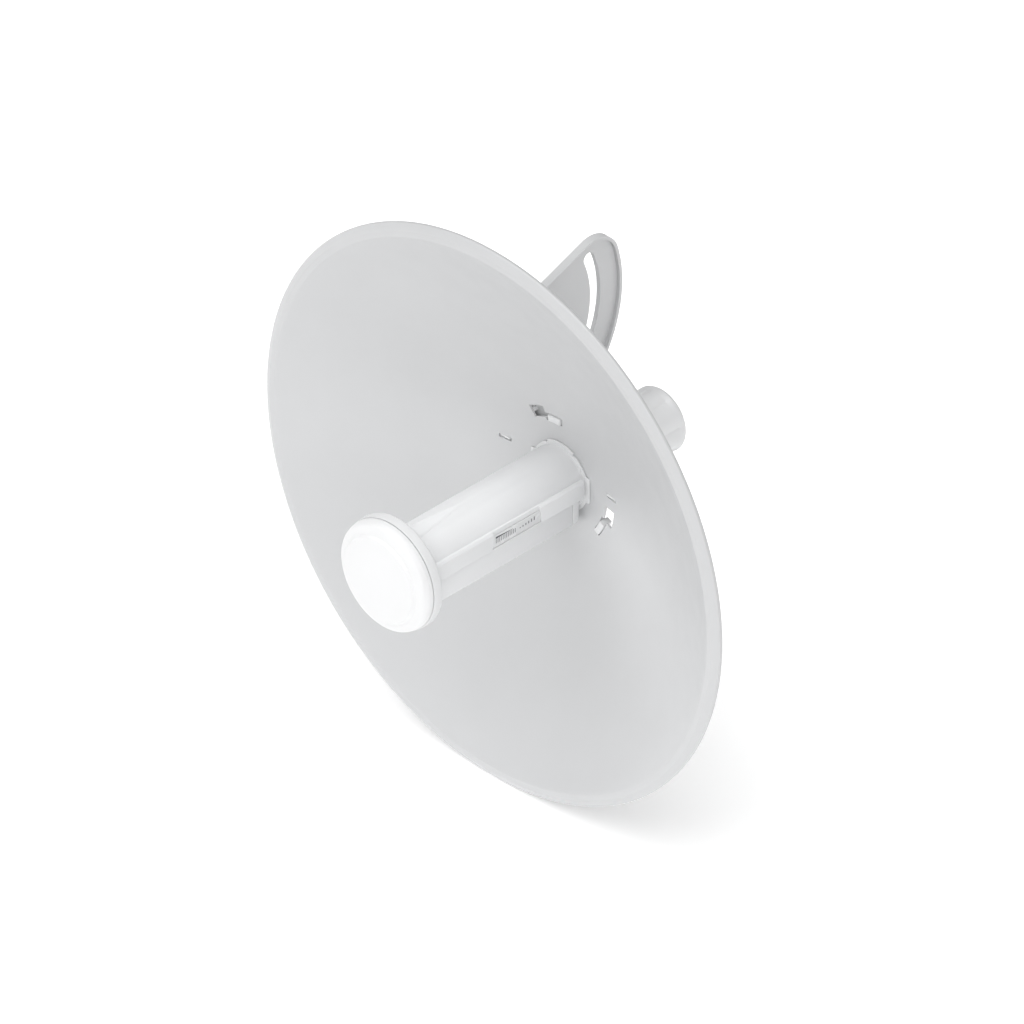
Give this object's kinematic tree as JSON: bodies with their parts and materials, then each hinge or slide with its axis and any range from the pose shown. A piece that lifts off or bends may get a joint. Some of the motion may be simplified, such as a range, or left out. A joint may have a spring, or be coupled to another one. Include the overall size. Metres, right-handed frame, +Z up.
{
  "type": "outdoor wireless bridge",
  "caption": "Point-to-point dish antenna with a tubular radio feed on its axis, a rear locking knob and a tilting pole mount.",
  "frame": {"origin": "on the axis of the mast that the clamp holds, half way up the clamp", "axes": "+Z up along the mast, -Y the way the dish faces, +X to the right seen from in front"},
  "size_m": [0.42, 0.2778, 0.42],
  "materials": {
    "coated_metal": "satin powder coat",
    "coated_aluminium": "satin powder coat over aluminium sheet",
    "white_plastic": "satin moulded",
    "radome_plastic": "satin moulded",
    "smoked_lens": "gloss",
    "grey_rubber": "matte",
    "stainless_steel": "bright",
    "brass": "bright",
    "circuit_board": "solder mask",
    "black_plastic": "moulded"
  },
  "bodies": {
    "mast_bracket": {"pole_bracket": "coated_metal", "pivot_bolt": "stainless_steel", "pivot_washer": "stainless_steel", "pivot_nut": "stainless_steel", "lock_bolt": "stainless_steel", "lock_washer": "stainless_steel", "lock_nut": "stainless_steel", "clamp_bolt_1": "stainless_steel", "clamp_bolt_2": "stainless_steel"},
    "jaw": {"clamp_jaw": "coated_metal", "clamp_washer_1": "stainless_steel", "clamp_washer_2": "stainless_steel", "clamp_nut_1": "stainless_steel", "clamp_nut_2": "stainless_steel"},
    "antenna": {"reflector_dish": "coated_aluminium", "mount_base": "white_plastic", "feed_collar": "white_plastic", "snap_latch_1": "white_plastic", "snap_latch_2": "white_plastic", "fan_screw_1": "stainless_steel", "fan_screw_2": "stainless_steel", "fan_screw_3": "stainless_steel", "knob_seal": "grey_rubber", "elevation_fan": "coated_metal", "feed_tube": "white_plastic", "feed_tail": "white_plastic", "cap_ring": "white_plastic", "radome_cap": "radome_plastic", "cap_gasket": "grey_rubber", "sub_reflector": "stainless_steel", "radiator_disc": "brass", "feed_probe": "brass", "main_board": "circuit_board", "rf_shield": "stainless_steel", "power_module": "black_plastic", "ethernet_jack": "stainless_steel", "reset_switch": "black_plastic", "status_led_1": "smoked_lens", "status_led_2": "smoked_lens", "status_led_3": "smoked_lens", "status_led_4": "smoked_lens", "status_led_5": "smoked_lens", "status_led_6": "smoked_lens", "led_lens": "smoked_lens", "blank_lens": "white_plastic", "board_screw_1": "stainless_steel", "board_screw_2": "stainless_steel"},
    "knob": {"locking_knob": "white_plastic"},
    "cover": {"port_cover": "white_plastic", "cable_grommet": "grey_rubber"},
    "button": {"reset_button": "grey_rubber"}
  },
  "joints": [
    {"name": "elevation_tilt", "type": "hinge", "parent": "mast_bracket", "child": "antenna", "pos_m": [0.0405, -0.0621, 0.105], "axis": [-1, 0, 0], "range_deg": [-12, 45]},
    {"name": "jaw_slide", "type": "slide", "parent": "mast_bracket", "child": "jaw", "axis": [0, -1, 0], "range_m": [0, 0.02]},
    {"name": "knob_turn", "type": "hinge", "parent": "antenna", "child": "knob", "pos_m": [0.09, -0.009, 0.02], "axis": [0, 1, 0], "range_deg": [0, 90]},
    {"name": "cover_pull", "type": "slide", "parent": "antenna", "child": "cover", "axis": [0, 0, -1], "range_m": [0, 0.025]},
    {"name": "reset_press", "type": "slide", "parent": "antenna", "child": "button", "axis": [0, 0, 1], "range_m": [0, 0.0006], "stiffness_N_per_m": 600}
  ]
}
